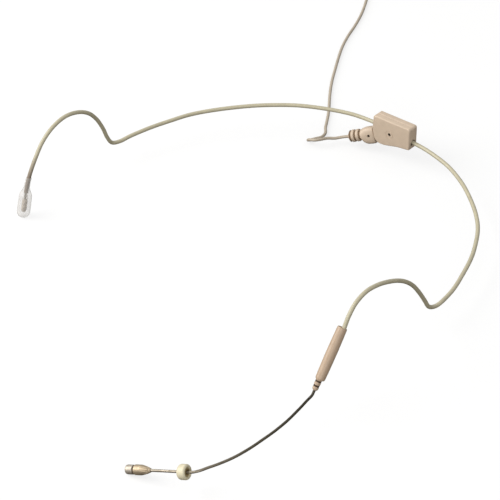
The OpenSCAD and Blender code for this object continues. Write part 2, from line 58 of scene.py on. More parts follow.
RIGHT_ARM = [
    (-72.5, -19.5, 8.3), (-72.5, -18.5, 12), (-72.5, -16.5, 16.5), (-72.5, -13.5, 21.5),
    (-72.5, -10, 26), (-72.5, -5, 29.5), (-72.5, 1, 31), (-72.5, 7, 30), (-72.5, 12.5, 27),
    (-72.5, 16.5, 22.5), (-72.5, 19.5, 17), (-72.5, 21.5, 12), (-72.5, 23.8, 8.6),
    (-72, 27.5, 7.6), (-71, 32, 8.1), (-68.8, 39.6, 8.7), (-66, 47.5, 9.1), (-62.5, 55.5, 9.6),
    (-56.5, 64, 10.2), (-49, 72.4, 10.8), (-42, 78.5, 11.3), (-34.5, 84, 11.6),
    (-25, 88.7, 11.9), (-16.5, 91.8, 12), (-9, 93, 12), (-5.5, 93.1, 12), (-2, 93.1, 12),
]
LEFT_ARM = [
    (73, -25.4, 19.8), (73, -22.8, 23.4), (73, -20.2, 27), (73, -17.9, 30.8), (73, -14.5, 34),
    (73, -9.5, 35.5), (73, -4, 34.8), (73, 1.3, 33), (73, 6.6, 30.4), (73, 11, 27.3),
    (73, 14.8, 23.5), (73, 18.4, 18.5), (73, 21.4, 13.6), (73, 23.8, 9.7), (73.1, 27.2, 7.9),
    (73.2, 31, 7.9), (72.2, 38, 8.1), (70.2, 45, 8.4), (67.3, 53.5, 8.8), (64.3, 60, 9.2),
    (59.5, 68, 9.8), (54, 74.2, 10.2), (47.3, 79.8, 10.6), (40, 84.8, 10.9),
    (32.2, 88.8, 11.1), (26, 90.9, 11.2), (18, 92.6, 11.2), (12, 93.1, 11.2),
    (9, 93.1, 11.2), (6.2, 93.1, 11.2),
]
BOOM = [
    (72.2, -34.3, 7.9), (72, -36.2, 7.1), (72.7, -41.1, 6.9), (73.6, -47.4, 7), (74.2, -54, 7.4),
    (74.5, -60.2, 8), (74.8, -66.4, 8.8), (74.7, -72.9, 9.7), (73.8, -78.5, 10.3),
    (72.5, -82.6, 10.5), (71.4, -85.1, 10.3),
]
CABLE = [
    (-15.95, 89.6, 3.55), (-18.2, 88.4, 2.8), (-19.8, 86.6, 2.5), (-21.6, 84.4, 2.8),
    (-22.5, 81.9, 3.2), (-23.8, 80, 3.2), (-26.1, 79.5, 2.6), (-27.4, 80.2, 1.5),
    (-27.6, 81.7, 0.7), (-26.7, 84, 0.6), (-25.8, 86.2, 0.6), (-26.5, 89, 0.6),
    (-28.7, 91.7, 0.6), (-30.4, 94.3, 0.6), (-33.5, 98.9, 0.6), (-36.7, 103.2, 0.6),
    (-42.4, 110.5, 0.6), (-47.4, 117.6, 0.6), (-52, 125, 0.6), (-56.6, 132.6, 0.6),
    (-60.4, 139.4, 0.6), (-63.6, 146.5, 0.6), (-66.4, 154, 0.6), (-69.6, 161.5, 0.6),
    (-73, 168, 0.6), (-76.8, 174.5, 0.6), (-80.8, 181.5, 0.7), (-84, 188.5, 0.9),
]
CABLE_END = [
    (-84.3, 179.6, 4.2), (-83.1, 181.8, 4.2), (-82, 183.9, 4.5), (-80.9, 186.1, 4.8),
    (-79.8, 188.2, 4.8), (-77.5, 192.5, 4.8), (-75.2, 196.8, 4.8),
]
COIL_AT = Vector((-92.9, 184.4, 0.3))
COIL_MID_D = 13
COIL_ROWS = 7
COIL_LAYERS = 4
COIL_START = 24.6
COIL_STEPS = 28
COIL_CLIMB = 0.95


def place(at, turn=(0, 0, 0)):
    """A frame at a point, turned about X, then Y, then Z, in degrees."""
    return Matrix.Translation(at) @ Euler([math.radians(a) for a in turn]).to_matrix().to_4x4()


TIP = place((-72.5, -21.5, 0.25), (-14, 0, 0))
BARREL = place((72.4, -30.8, 12.4), (-36, 0, 0))
GLAND = BARREL @ place((-0.2, 0, 0))
NOSE = place((69.6, -86.7, 9.6), (0, 109.6, 195))
CAPSULE_FROM = 15.1
CAPSULE = NOSE @ place((0, 0, CAPSULE_FROM))
BOOT = place((-1.5, 93.1, 9.4), (0, 158, 0))
RIBS = BOOT @ place((6, 0, 0), (0, 0, -20)) @ place((0, 0, 0), (0, 90, 0))
PLUG = place((-76.7, 194, 4.8), (0, 90, 62))


# ---------------------------------------------------------------- camera
CAMERA_AZIMUTH = 41.75
CAMERA_ELEVATION = 37
CAMERA_DISTANCE = 800
CAMERA_TARGET = Vector((4.56, 12.36, 5.05))
SENSOR_WIDTH = 36
FOCAL_LENGTH = 168.36
CLIP_START = 0.01


def make_camera():
    """A long lens that looks down at the headset from its left front."""
    azimuth, elevation = math.radians(CAMERA_AZIMUTH), math.radians(CAMERA_ELEVATION)
    back = Vector((
        math.sin(azimuth) * math.cos(elevation),
        -math.cos(azimuth) * math.cos(elevation),
        math.sin(elevation),
    ))
    right = Vector((math.cos(azimuth), math.sin(azimuth), 0))
    data = bpy.data.cameras.new("camera")
    data.sensor_width = SENSOR_WIDTH
    data.lens = FOCAL_LENGTH
    data.clip_start = CLIP_START
    camera = bpy.data.objects.new("camera", data)
    turn = Matrix((right, back.cross(right), back)).transposed().to_4x4()
    camera.matrix_world = Matrix.Translation((CAMERA_TARGET + CAMERA_DISTANCE * back) * MM) @ turn
    bpy.context.scene.collection.objects.link(camera)
    bpy.context.scene.camera = camera


# ---------------------------------------------------------------- paths
def smooth_path(points, steps):
    """Catmull-Rom curve through the points, the same one as in the CAD."""
    p = [Vector(q) for q in points]
    out = []
    for i in range(len(p) - 1):
        a, b, c, d = p[max(i - 1, 0)], p[i], p[i + 1], p[min(i + 2, len(p) - 1)]
        for k in range(steps):
            t = k / steps
            out.append(0.5 * (2 * b + (c - a) * t + (2 * a - 5 * b + 4 * c - d) * t * t
                              + (3 * b - a - 3 * c + d) * t ** 3))
    return out + [p[-1]]


def coil_path():
    """Turns laid side by side, inwards and outwards by turns, one layer on the other."""
    outer = COIL_MID_D / 2 + (COIL_ROWS - 1) * CABLE_D / 2
    inner = outer - (COIL_ROWS - 1) * CABLE_D
    across = (COIL_ROWS - 1) * COIL_STEPS
    climb = round(COIL_CLIMB * COIL_STEPS)
    out, angle = [], math.radians(COIL_START)
    turn = 2 * math.pi / COIL_STEPS
    for layer in range(COIL_LAYERS):
        start, end = (outer, inner) if layer % 2 == 0 else (inner, outer)
        height = COIL_AT.z + CABLE_D * (layer + 0.5)
        for k in range(across):
            radius = start + (end - start) * k / across
            out.append(Vector((radius * math.cos(angle), radius * math.sin(angle), height)))
            angle += turn
        if layer < COIL_LAYERS - 1:
            for k in range(climb):
                rise = CABLE_D * k / climb
                out.append(Vector((end * math.cos(angle), end * math.sin(angle), height + rise)))
                angle += turn
    middle = Vector((COIL_AT.x, COIL_AT.y, 0))
    return [middle + p for p in out]


def path_frames(path, side):
    """Direction and side vector at each point, the side carried along without twist."""
    frames = []
    for i in range(len(path)):
        way = (path[min(i + 1, len(path) - 1)] - path[max(i - 1, 0)]).normalized()
        side = (side - side.dot(way) * way).normalized()
        frames.append((way, side))
    return frames


# ---------------------------------------------------------------- meshes
SHARP_ANGLE = 38
FLAT_CORNER = math.radians(172)
NEAR_ZERO = 1e-5
CORNER_STEPS = 4
WOBBLE_ALONG = 0.35
WOBBLE_AROUND = 0.7


def mesh_piece(name, verts, faces, uvs=None, sharp=SHARP_ANGLE):
    """A mesh object from points in millimetres, smooth except where it bends sharply."""
    mesh = bpy.data.meshes.new(name)
    mesh.from_pydata([tuple(v * MM for v in p) for p in verts], [], faces)
    if uvs:
        layer = mesh.uv_layers.new(name="UVMap")
        for loop in mesh.loops:
            layer.data[loop.index].uv = uvs[loop.vertex_index]
    piece = bpy.data.objects.new(name, mesh)
    bpy.context.scene.collection.objects.link(piece)
    shade(piece, sharp)
    return piece


def shade(piece, sharp=SHARP_ANGLE):
    """Turns the faces outwards and shades them smooth, with hard edges above the sharp angle."""
    work = bmesh.new()
    work.from_mesh(piece.data)
    bmesh.ops.recalc_face_normals(work, faces=work.faces)
    for face in work.faces:
        face.smooth = True
    for edge in work.edges:
        edge.smooth = len(edge.link_faces) == 2 and edge.calc_face_angle() < math.radians(sharp)
    work.to_mesh(piece.data)
    work.free()


def tube(name, path, radius, sides=20, side=X_AXIS, wobble=0.0, seed=0):
    """A round rod along a path. radius is a number, or a function of the length so far."""
    verts, uvs = [], []
    along = 0
    for i, (point, (way, across)) in enumerate(zip(path, path_frames(path, side))):
        along += (point - path[i - 1]).length if i else 0
        r = radius(along) if callable(radius) else radius
        up = way.cross(across)
        for k in range(sides):
            a = 2 * math.pi * k / sides
            ray = math.cos(a) * across + math.sin(a) * up
            bumps = Vector((along * WOBBLE_ALONG + seed, ray.x * WOBBLE_AROUND, ray.z * WOBBLE_AROUND))
            swell = wobble * noise.noise(bumps)
            verts.append(point + ray * r * (1 + swell))
            uvs.append((k / sides, along * MM))
    faces = [tuple(range(sides))[::-1], tuple(range(len(verts) - sides, len(verts)))]
    for i in range(len(path) - 1):
        for k in range(sides):
            a, b = i * sides + k, i * sides + (k + 1) % sides
            faces.append((a, b, b + sides, a + sides))
    return mesh_piece(name, verts, faces, uvs)


def rounded_profile(points, radius):
    """An open outline with its inner corners softened by short curves."""
    p = [Vector(q).to_2d() for q in points]
    out = [p[0]]
    for a, b, c in zip(p, p[1:], p[2:]):
        back, on = a - b, c - b
        reach = min(radius, 0.45 * back.length, 0.45 * on.length)
        if reach < NEAR_ZERO or back.angle(on) > FLAT_CORNER:
            out.append(b)
            continue
        start, end = b + back.normalized() * reach, b + on.normalized() * reach
        for k in range(CORNER_STEPS + 1):
            t = k / CORNER_STEPS
            out.append((1 - t) ** 2 * start + 2 * t * (1 - t) * b + t * t * end)
    return out + [p[-1]]


def turned(name, profile, frame_at, soft=0.1, sides=72, shape=None):
    """A turned piece: (radius, height) points about the frame's Z, open ends closed on the axis.
    shape changes a point's radius by its angle and height."""
    outline = rounded_profile(profile, soft)
    verts, rings = [], []
    for r, z in outline:
        ring = []
        if r < NEAR_ZERO:
            ring = [len(verts)] * sides
            verts.append(frame_at @ Vector((0, 0, z)))
        else:
            for k in range(sides):
                a = 2 * math.pi * k / sides
                reach = shape(r, z, a) if shape else r
                ring.append(len(verts))
                verts.append(frame_at @ Vector((reach * math.cos(a), reach * math.sin(a), z)))
        rings.append(ring)
    if outline[0][0] > NEAR_ZERO and outline[-1][0] > NEAR_ZERO:
        rings.append(rings[0])
    faces = []
    for lower, upper in zip(rings, rings[1:]):
        for k in range(sides):
            n = (k + 1) % sides
            face = []
            for v in (lower[k], lower[n], upper[n], upper[k]):
                if v not in face:
                    face.append(v)
            if len(face) > 2:
                faces.append(tuple(face))
    return mesh_piece(name, verts, faces)


def lofted(name, rings, sharp=SHARP_ANGLE):
    """A closed skin through rings of equally many points, capped at both ends."""
    n = len(rings[0])
    verts = [v for ring in rings for v in ring]
    faces = [tuple(range(n))[::-1], tuple(range(len(verts) - n, len(verts)))]
    for i in range(len(rings) - 1):
        for k in range(n):
            a, b = i * n + k, i * n + (k + 1) % n
            faces.append((a, b, b + n, a + n))
    return mesh_piece(name, verts, faces, sharp=sharp)


def cylinder_cutter(frame_at, radius, low, high, sides=48):
    """A plain cylinder, used only to drill a hole."""
    rings = []
    for z in (low, high):
        rings.append([
            frame_at @ Vector((radius * math.cos(2 * math.pi * k / sides),
                               radius * math.sin(2 * math.pi * k / sides), z))
            for k in range(sides)])
    return lofted("cutter", rings)


def cut(piece, cutters, operation="DIFFERENCE"):
    """Takes the cutters away from the piece, or adds them, and leaves one clean mesh."""
    for cutter in cutters:
        step = piece.modifiers.new("cut", "BOOLEAN")
        step.operation = operation
        step.solver = "EXACT"
        step.object = cutter
    bpy.context.view_layer.update()
    result = piece.evaluated_get(bpy.context.evaluated_depsgraph_get())
    mesh = bpy.data.meshes.new_from_object(result)
    piece.modifiers.clear()
    piece.data = mesh
    for cutter in cutters:
        bpy.data.objects.remove(cutter)
    shade(piece)
    return piece


# ---------------------------------------------------------------- materials
class Nodes:
    """A short way to write a material's node tree."""

    def __init__(self, name):
        self.material = bpy.data.materials.new(name)
        self.material.use_nodes = True
        self.tree = self.material.node_tree
        self.shader = self.tree.nodes["Principled BSDF"]
        self.coordinates = self.add("ShaderNodeTexCoord").outputs["Object"]

    def add(self, kind, **values):
        """A new node with its sockets or settings filled in."""
        node = self.tree.nodes.new(kind)
        for key, value in values.items():
            if key in node.inputs:
                node.inputs[key].default_value = value
            else:
                setattr(node, key, value)
        return node

    def link(self, a, b):
        self.tree.links.new(a, b)

    def set(self, **values):
        for key, value in values.items():
            self.shader.inputs[key.replace("_", " ")].default_value = value

    def noise(self, scale, detail=4.0, stretch=None, source=None):
        """Noise at a scale of features per metre."""
        node = self.add("ShaderNodeTexNoise", Scale=scale, Detail=detail)
        source = source or self.coordinates
        if stretch:
            mapping = self.add("ShaderNodeMapping")
            mapping.inputs["Scale"].default_value = stretch
            self.link(source, mapping.inputs["Vector"])
            source = mapping.outputs["Vector"]
        self.link(source, node.inputs["Vector"])
        return node.outputs["Fac"]

    def ramp(self, factor, stops):
        """Colours between stops of position and colour."""
        node = self.add("ShaderNodeValToRGB")
        elements = node.color_ramp.elements
        while len(elements) < len(stops):
            elements.new(0.5)
        for element, (at, color) in zip(elements, stops):
            element.position = at
            element.color = (*color, 1) if len(color) == 3 else color
        self.link(factor, node.inputs["Fac"])
        return node.outputs["Color"]

    def mix(self, factor, a, b, blend_type="MIX"):
        node = self.add("ShaderNodeMix", data_type="RGBA", blend_type=blend_type)
        for value, socket in ((factor, node.inputs[0]), (a, node.inputs[6]), (b, node.inputs[7])):
            if isinstance(value, bpy.types.NodeSocket):
                self.link(value, socket)
            else:
                socket.default_value = value if isinstance(value, float) else (*value, 1)
        return node.outputs[2]

    def uneven_gloss(self, factor, *stops):
        """Roughness that follows a pattern between the given values."""
        grey = self.ramp(factor, [(at, (value,) * 3) for at, value in stops])
        self.link(grey, self.shader.inputs["Roughness"])

    def length_along(self, reach):
        """0 at the start of a tube and 1 at the reach, from the length in its UV map."""
        split = self.add("ShaderNodeSeparateXYZ")
        self.link(self.add("ShaderNodeTexCoord").outputs["UV"], split.inputs["Vector"])
        share = self.add("ShaderNodeMath", operation="DIVIDE")
        self.link(split.outputs["Y"], share.inputs[0])
        share.inputs[1].default_value = reach
        return share.outputs["Value"]

    def bump(self, height, distance, strength=1.0):
        """Adds relief on top of what the shader already has."""
        node = self.add("ShaderNodeBump", Strength=strength, Distance=distance)
        previous = self.shader.inputs["Normal"]
        if previous.is_linked:
            self.link(previous.links[0].from_socket, node.inputs["Normal"])
        self.link(height, node.inputs["Height"])
        self.link(node.outputs["Normal"], previous)


BAND_BEIGE = (0.52, 0.475, 0.335)
# The first colour below is painted shade for the tip end of the right sleeve; the length after it is its
# reach in metres.
PAINTED_SHADE = (0.27, 0.215, 0.165)
PAINTED_SHADE_LENGTH = 0.02
BOOM_LENGTH = 0.1


def tinted(color, factor):
    """A colour made lighter or darker."""
    return tuple(min(1.0, c * factor) for c in color)


def moulded(name, color, roughness=0.5, mottle=0.10, grain=9000, depth=0.000006, gloss=0.4):
    """Moulded plastic: soft mottling, a fine spark-eroded grain and uneven gloss."""
    n = Nodes(name)
    cloud = n.noise(420, 3.0)
    speck = n.noise(5200, 2.0)
    base = n.ramp(cloud, [(0.3, tinted(color, 1 - mottle)), (0.7, tinted(color, 1 + mottle))])
    dusty = n.ramp(speck, [(0.35, tinted(color, 0.86)), (0.65, tinted(color, 1.08))])
    n.link(n.mix(0.35, base, dusty), n.shader.inputs["Base Color"])
    n.uneven_gloss(n.noise(1600, 3.0), (0.3, roughness - 0.08), (0.7, roughness + 0.08))
    n.bump(n.noise(grain, 2.0), depth)
    n.set(Specular_IOR_Level=gloss)
    return n


def metal(name, color, roughness=0.3, metallic=1.0, brush=(1.0, 1.0, 0.06), depth=0.000003):
    """Drawn or turned metal: fine lines and a little tarnish."""
    n = Nodes(name)
    lines = n.noise(14000, 3.0, stretch=brush)
    stain = n.noise(700, 4.0)
    wear_and_shade = n.ramp(stain, [(0.3, tinted(color, 0.82)), (0.7, tinted(color, 1.12))])
    n.link(n.mix(0.25, wear_and_shade, n.ramp(lines, [(0.2, tinted(color, 0.75)), (0.8, tinted(color, 1.2))])),
           n.shader.inputs["Base Color"])
    n.uneven_gloss(lines, (0.2, roughness - 0.1), (0.8, roughness + 0.12))
    n.bump(lines, depth)
    n.set(Metallic=metallic)
    return n


def jacket(name, color, roughness=0.45, metallic=0.0, gloss=0.5):
    """An extruded sleeve: drawn lines along it and slow changes of tint, by its own length."""
    n = Nodes(name)
    uv = n.add("ShaderNodeTexCoord").outputs["UV"]
    drawn = n.noise(60, 3.0, stretch=(1.0, 4.0, 1.0), source=uv)
    slow = n.noise(260, 3.0)
    base = n.ramp(slow, [(0.3, tinted(color, 0.92)), (0.7, tinted(color, 1.06))])
    streak = n.ramp(drawn, [(0.35, tinted(color, 0.86)), (0.65, tinted(color, 1.08))])
    n.link(n.mix(0.35, base, streak), n.shader.inputs["Base Color"])
    n.uneven_gloss(slow, (0.3, roughness - 0.06), (0.7, roughness + 0.08))
    n.bump(drawn, 0.000012, 0.5)
    n.bump(n.noise(7000, 2.0), 0.000004)
    n.set(Specular_IOR_Level=gloss, Metallic=metallic)
    return n


def make_materials():
    """All the materials, by the short names that dress() uses."""
    made = {}
    made["band"] = jacket("band_sleeve", BAND_BEIGE, 0.3)
    # band_end carries painted shade at the tip end of the right sleeve
    made["band_end"] = shaded_sleeve_end()
    made["wire"] = metal("spring_wire", (0.50, 0.46, 0.38), 0.32)
    made["shell"] = moulded("shell_plastic", (0.62, 0.495, 0.375), 0.48, mottle=0.06)
    made["barrel"] = moulded("barrel_plastic", (0.50, 0.37, 0.26), 0.34, mottle=0.06)
    made["bead"] = moulded("bead_plastic", (0.66, 0.58, 0.49), 0.5)
    made["dark"] = moulded("dark_plastic", (0.035, 0.022, 0.014), 0.6, gloss=0.2)
    made["rubber"] = moulded("seal_rubber", (0.075, 0.048, 0.03), 0.62, gloss=0.3)
    made["pin"] = metal("pin_steel", (0.62, 0.61, 0.58), 0.25)
    made["crimp"] = metal("crimp_brass", (0.72, 0.58, 0.34), 0.35)
    made["boom"] = graded_coat()
    made["ring"] = moulded("ring_plastic", (0.72, 0.655, 0.47), 0.4, mottle=0.04)
    # painted shade: dark brown for the rings that line the boot's grooves
    made["groove"] = moulded("groove_painted_shade", (0.22, 0.145, 0.085), 0.6, gloss=0.2)
    made["bush"] = moulded("bush_plastic", (0.24, 0.17, 0.07), 0.5)
    made["recess"] = moulded("recess_plastic", (0.46, 0.37, 0.2), 0.5)
    made["capsule"] = metal("capsule_metal", (0.52, 0.42, 0.29), 0.48, 0.7)
    made["cap"] = metal("cap_metal", (0.54, 0.48, 0.40), 0.5, 0.65)
    made["mesh"] = metal("mesh_steel", (0.42, 0.40, 0.37), 0.35)
    made["gold"] = metal("gold_flash", (0.86, 0.66, 0.30), 0.22)
    made["board"] = moulded("circuit_board", (0.03, 0.16, 0.06), 0.4)
    made["lead"] = jacket("lead_enamel", (0.45, 0.06, 0.04), 0.3)
    made["cable"] = jacket("cable_jacket", (0.50, 0.43, 0.34), 0.5, gloss=0.35)
    made["plug"] = moulded("plug_plastic", (0.02, 0.02, 0.021), 0.42, gloss=0.45)
    made["lock"] = metal("lock_metal", (0.55, 0.55, 0.56), 0.3)
    made["insulator"] = moulded("insulator_plastic", (0.80, 0.80, 0.76), 0.4)
    made["tie"] = strap_fabric()
    made["silicone"] = clear_silicone()
    return {key: n.material for key, n in made.items()}


def shaded_sleeve_end():
    """The band's sleeve with painted shade: browned at the end that runs into the silicone of the tip, fully
    for 6 mm and fading out by 15 mm.
    """
    n = jacket("band_sleeve_end", BAND_BEIGE, 0.3)
    clean = n.shader.inputs["Base Color"].links[0].from_socket
    # painted shade: this mask is 0 from the tip end to 6 mm and 1 from 15 mm on
    wear_and_shade = n.ramp(n.length_along(PAINTED_SHADE_LENGTH), [(0.3, (0, 0, 0)), (0.75, (1, 1, 1))])
    n.link(n.mix(wear_and_shade, PAINTED_SHADE, clean), n.shader.inputs["Base Color"])
    return n


def graded_coat():
    """Drawn coat on the boom's steel tube: dark by the gland, lighter towards the nose."""
    n = jacket("boom_coat", (0.2, 0.17, 0.12), 0.28, 0.5)
    tint = n.ramp(n.length_along(BOOM_LENGTH), [
        (0.12, (0.05, 0.042, 0.026)), (0.45, (0.13, 0.11, 0.07)),
        (0.75, (0.36, 0.31, 0.24)), (1.0, (0.44, 0.39, 0.32))])
    rubbed = n.ramp(n.noise(900, 4.0), [(0.35, (0.75, 0.74, 0.72)), (0.65, (1, 1, 1))])
    n.link(n.mix(1.0, tint, rubbed, "MULTIPLY"), n.shader.inputs["Base Color"])
    return n


def strap_fabric():
    """Hook and loop strap: a tight weave with a fuzzy face."""
    n = Nodes("strap_fabric")
    weave = n.add("ShaderNodeTexWave", Scale=900.0, Distortion=1.5)
    n.link(n.coordinates, weave.inputs["Vector"])
    fuzz = n.noise(6000, 3.0)
    n.link(n.ramp(fuzz, [(0.3, (0.008, 0.008, 0.009)), (0.7, (0.035, 0.035, 0.038))]),
           n.shader.inputs["Base Color"])
    n.bump(weave.outputs["Fac"], 0.00004)
    n.bump(fuzz, 0.00003)
    n.set(Roughness=0.9, Sheen_Weight=0.4, Specular_IOR_Level=0.2)
    return n


def clear_silicone():
    """Milky clear silicone: seen through at the middle, denser at its rim."""
    n = Nodes("clear_silicone")
    rim = n.add("ShaderNodeLayerWeight", Blend=0.35).outputs["Facing"]
    cloud = n.noise(900, 3.0)
    n.link(n.ramp(cloud, [(0.3, (0.74, 0.70, 0.64)), (0.7, (0.82, 0.79, 0.75))]),
           n.shader.inputs["Base Color"])
    n.link(n.ramp(rim, [(0.0, (0.26,) * 3), (0.5, (0.34,) * 3), (1.0, (0.75,) * 3)]),
           n.shader.inputs["Alpha"])
    n.bump(n.noise(2600, 2.0), 0.00001)
    n.set(Roughness=0.22, IOR=1.41, Specular_IOR_Level=0.5)
    return n


def dress(piece, material, body=None, nodes=()):
    """Gives a piece its material and body, and hides the CAD nodes that it stands for."""
    piece.data.materials.clear()
    piece.data.materials.append(MATERIALS[material])
    if body:
        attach(piece, body)
    if nodes:
        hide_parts(*nodes)
    return piece


def repaint(node, material):
    """A CAD node that stays gets a detailed material in its own slots."""
    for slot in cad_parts[node].material_slots:
        slot.material = MATERIALS[material]


# ---------------------------------------------------------------- cable
TIE_THICKNESS = 0.24
TIE_HALF_WIDTH = 1.15
TIE_GAP = 0.03
TIE_LAP = 0.12
TIE_TURN = 205
TIE_TAPER = 0.97
CONTACT_BORE = 0.75
CONTACT_R = 1.75
RELIEF_RIB_DEPTH = 0.16
KNURLS = 36
KNURL_HEIGHT = 0.12
KNURL_FROM, KNURL_TO = 13.5, 20.2
KNURL_R = 4.3


def make_cable():
    """The free cable from the boot through its coil to the plug, and the path it follows."""
    path = smooth_path(CABLE, 8)[:-1] + coil_path() + smooth_path(CABLE_END, 6)
    piece = tube("cable_jacket", path, CABLE_D / 2, 16, Z_AXIS, wobble=0.02, seed=5)
    dress(piece, "cable", nodes=("cable", "cable_coil", "cable_end"))
    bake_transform(piece)
    return piece, path


def make_tie():
    """A strap once around the coil, its end lapped on top."""
    inner = (COIL_MID_D - COIL_ROWS * CABLE_D) / 2
    outer = inner + COIL_ROWS * CABLE_D
    height = COIL_LAYERS * CABLE_D
    at = place(COIL_AT, (0, 0, TIE_TURN))
    wide = TIE_HALF_WIDTH
    corners = [(inner, 0), (outer, 0), (outer, height), (inner, height)]
    loop = []
    for i, corner in enumerate(corners):
        for k in range(7):
            a = math.radians(-180 + 90 * i + 15 * k)
            loop.append((Vector(corner), Vector((math.cos(a), math.sin(a)))))
    rings = []
    for corner, ray in loop + loop[:3]:
        off = TIE_GAP + (TIE_LAP if len(rings) >= len(loop) else 0.0)
        low, high = corner + ray * off, corner + ray * (off + TIE_THICKNESS)
        ring = []
        for point, y in ((low, -wide), (low, wide), (high, wide * TIE_TAPER), (high, -wide * TIE_TAPER)):
            ring.append(at @ Vector((point.x, y, point.y)))
        rings.append(ring)
    piece = lofted("coil_strap", rings)
    return dress(piece, "tie", "headband", ("coil_tie",))


def make_contact(name, low, high):
    """A plain ring contact of the jack."""
    profile = [(CONTACT_BORE, low), (CONTACT_R, low), (CONTACT_R, high), (CONTACT_BORE, high)]
    contact = turned(name, profile, PLUG, 0.06)
    return dress(contact, "gold", "headband", ("plug_" + name,))


def make_plug():
    """Ribbed relief, barrel, knurled locking ring and three contacts of the jack."""
    def ribs(r, z, a):
        wave = 0.5 + 0.5 * math.cos(math.pi * z)
        return r - RELIEF_RIB_DEPTH * wave if -7.8 < z < -1 else r

    def knurl(r, z, a):
        knurled = r > KNURL_R and KNURL_FROM < z < KNURL_TO
        return r + KNURL_HEIGHT * math.cos(KNURLS * a) if knurled else r

    cone = [(1.15 + 1.25 * k / 34, -8.6 + 8.6 * k / 34) for k in range(35)]
    relief = turned(
        "plug_boot",
        [(0.56, -9), (1.0, -9)] + cone + [(2.4, 0.2), (1.4, 0.2), (1.4, 2.5), (0.56, 2.5)],
        PLUG, 0.05, 72, ribs)
    dress(relief, "plug", "headband", ("plug_relief",))
    barrel = turned(
        "plug_body", [
            (0, 3), (1.41, 3), (1.41, 0.25), (2.9, 0.25), (3.6, 1.4), (4, 2), (4, 4.4), (3.86, 4.6),
            (3.86, 4.9), (4, 5.1), (4, 12), (3.3, 12.4), (3.3, 22.6), (2.2, 22.6), (0, 22.6)],
        PLUG, 0.18)
    dress(barrel, "plug", "headband", ("plug_barrel",))
    lock = turned(
        "locking_ring", [
            (3.35, 12.8), (4.2, 12.8), (4.45, 13.1), (4.45, 13.4)]
        + [(4.45, 13.6 + 0.55 * k) for k in range(13)]
        + [(4.45, 20.4), (4.45, 20.7), (4.2, 21), (3.35, 21)],
        PLUG, 0.08, 216, knurl)
    dress(lock, "lock", "lock_ring", ("plug_lock_ring",))
    sleeve = make_contact("sleeve_contact", 22.62, 30.2)
    middle = make_contact("ring_contact", 30.9, 33.2)
    tip = turned(
        "tip_contact", [
            (0.74, 33.9), (1.75, 33.9), (1.75, 34.3), (1.2, 35.2), (1.72, 36.3), (1.2, 37.1),
            (0.5, 37.6), (0, 37.7)], PLUG, 0.3)
    dress(tip, "gold", "headband", ("plug_tip_contact",))
    repaint("plug_insulators", "insulator")
    return [relief, barrel, lock, sleeve, middle, tip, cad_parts["plug_insulators"]]


# ---------------------------------------------------------------- neck band
HIDDEN_TIP_STEPS = 4
NECK_FROM = 8.3


def make_band():
    """The two sleeves of the neck band and the spring wire that is bare at the right tip."""
    right_path = smooth_path(RIGHT_ARM, 10)[HIDDEN_TIP_STEPS:]
    right = tube("right_band_sleeve", right_path, BAND_R, 24, wobble=0.02, seed=1)
    # the right sleeve gets the material with painted shade at its tip end
    dress(right, "band_end", "headband", ("right_arm_tube",))
    left = tube("left_band_sleeve", smooth_path(LEFT_ARM, 10), BAND_R, 24, wobble=0.02, seed=2)
    dress(left, "band", "headband", ("left_arm_tube",))
    bare = [TIP @ Vector((0, 0, 5.2))] + [Vector(p) for p in RIGHT_ARM] + [Vector((-0.2, 93.1, 12))]
    wire = tube("right_spring_wire", smooth_path(bare, 6), WIRE_R, 12)
    dress(wire, "wire", "headband", ("right_arm_wire",))


def make_tip():
    """Clear sleeve on the tip of the right hook, with the crimp bead inside it."""
    bead = turned(
        "tip_crimp_bead", [
            (0, 3), (0, 2), (0.55, 2.1), (0.85, 2.6), (0.9, 4.2), (0.8, 4.5), (0.88, 4.9), (0.85, 6.2),
            (0.6, 6.8), (0.41, 6.8)], TIP, 0.2)
    dress(bead, "bead", "headband", ("right_tip_bead",))
    outer = [
        (0, 0), (0.95, 0.02), (1.7, 0.4), (2.2, 1.15), (2.35, 2.0), (2.34, 4), (2.28, 8.2), (2.1, 9.1),
        (1.55, 10.0), (1.15, 11.2), (1.02, 13), (0.98, 15), (0.86, 15.1)]
    inner = [(0.76, 15), (0.76, 8.0), (0.92, 7.4), (0.98, 6), (0.98, 2.6), (0.6, 1.9), (0, 1.8)]
    sleeve = turned("tip_silicone", outer + inner, TIP, 0.5)
    follow_arm(sleeve)
    dress(sleeve, "silicone", "headband", ("right_tip_sleeve",))


def follow_arm(sleeve):
    """Bends the neck of the sleeve along the arm that runs through it."""
    arm = smooth_path(RIGHT_ARM[:4], 12)
    inverse = TIP.inverted()
    line = [inverse @ p for p in arm]
    for vertex in sleeve.data.vertices:
        p = inverse @ (vertex.co / MM)
        if p.z > NECK_FROM:
            near = min(line, key=lambda q: abs(q.z - p.z))
            vertex.co = (TIP @ (p + Vector((near.x, near.y, 0)))) * MM


# ---------------------------------------------------------------- nape housing
SHELL_OUTLINE = [(-5.7, 16.8), (11, 17.7), (11, 8.8), (5.5, 7.8), (-0.5, 6), (-4.8, 5.6), (-6, 11)]
SHELL_CORNERS = [0.9, 0.9, 0.6, 5, 5, 3, 6]
POCKET_OUTLINE = [(-4.4, 15.8), (9.5, 16.7), (9.5, 9.9), (5.2, 8.8), (-0.6, 7.1), (-3.6, 7), (-4.6, 11)]
POCKET_CORNERS = [0.6, 0.6, 0.6, 3, 3, 2, 4]
RIVET = (1.9, 11.7)
SWIVEL = (-1.5, 9.4)
SEAM_Y = 93.1
INNER_FACE_Y = 90.8
OUTER_FACE_Y = 95.4
SEAM_BEVEL = 0.16
WALL = 0.8
RIGHT_BAND_Z = 12
LEFT_BAND_Z = 11.2
BAND_BORE_R = BAND_R + 0.03
SLOT_R = 5.4
SLOT_TOP = 11.15
SLOT_HALF_WIDTH = 1.05


